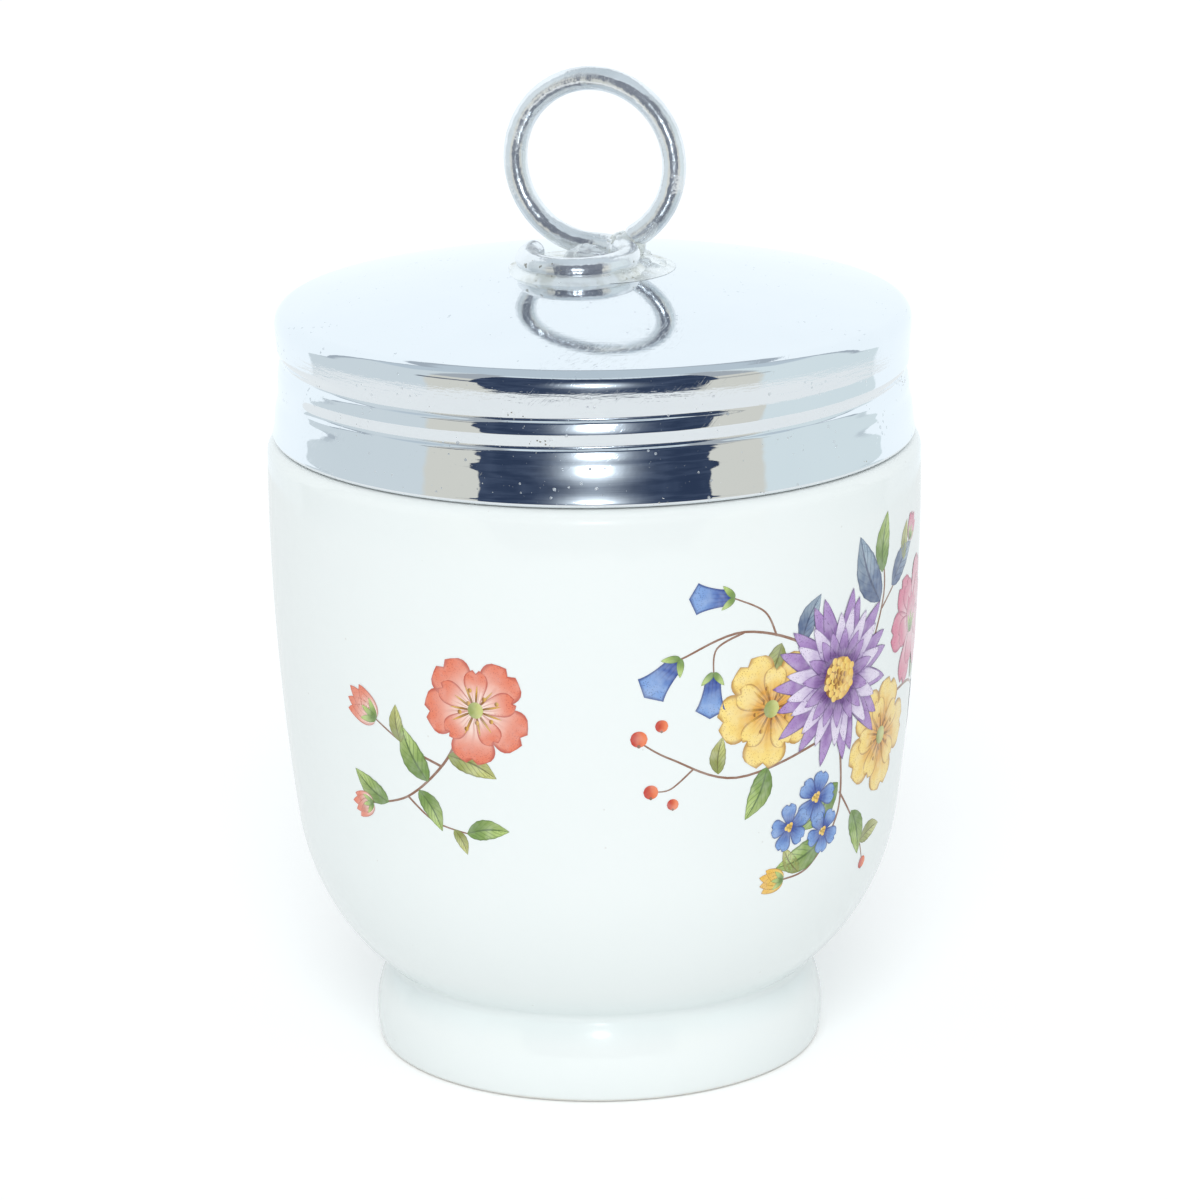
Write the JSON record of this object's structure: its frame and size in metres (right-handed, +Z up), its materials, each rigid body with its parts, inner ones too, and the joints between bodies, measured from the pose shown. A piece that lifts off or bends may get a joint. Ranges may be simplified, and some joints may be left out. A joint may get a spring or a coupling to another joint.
{
  "type": "egg coddler",
  "caption": "Footed porcelain pot for cooking an egg in hot water, closed by a shiny metal screw cap with a bent wire ring for lifting.",
  "frame": {"origin": "on the table under the middle of the foot ring, on the axis of the pot", "axes": "+Z up along the axis of the pot and its thread; -Y towards the front, where the main flower spray is; +X to the right seen from the front"},
  "size_m": [0.0642, 0.0642, 0.0978],
  "materials": {
    "porcelain": "glossy glaze, unglazed ring under the foot",
    "plated_sheet": "polished plate with fine wear",
    "plated_wire": "polished plate, worn darker",
    "solder": "dull grey solder"
  },
  "bodies": {
    "pot": {"pot": "porcelain"},
    "lift": {"solder_pad": "solder"},
    "lid": {"lid_shell": "plated_sheet", "ring_handle": "plated_wire"}
  },
  "joints": [
    {"name": "lid_rise", "type": "slide", "parent": "pot", "child": "lift", "axis": [0, 0, 1], "range_m": [0, 0.00323]},
    {"name": "lid_turn", "type": "hinge", "parent": "lift", "child": "lid", "pos_m": [0, 0, 0.07], "axis": [0, 0, 1], "range_deg": [0, 430]}
  ],
  "couplings": [
    {"joint": "lid_rise", "follows": "lid_turn", "m_per_rad": 0.00042972}
  ]
}
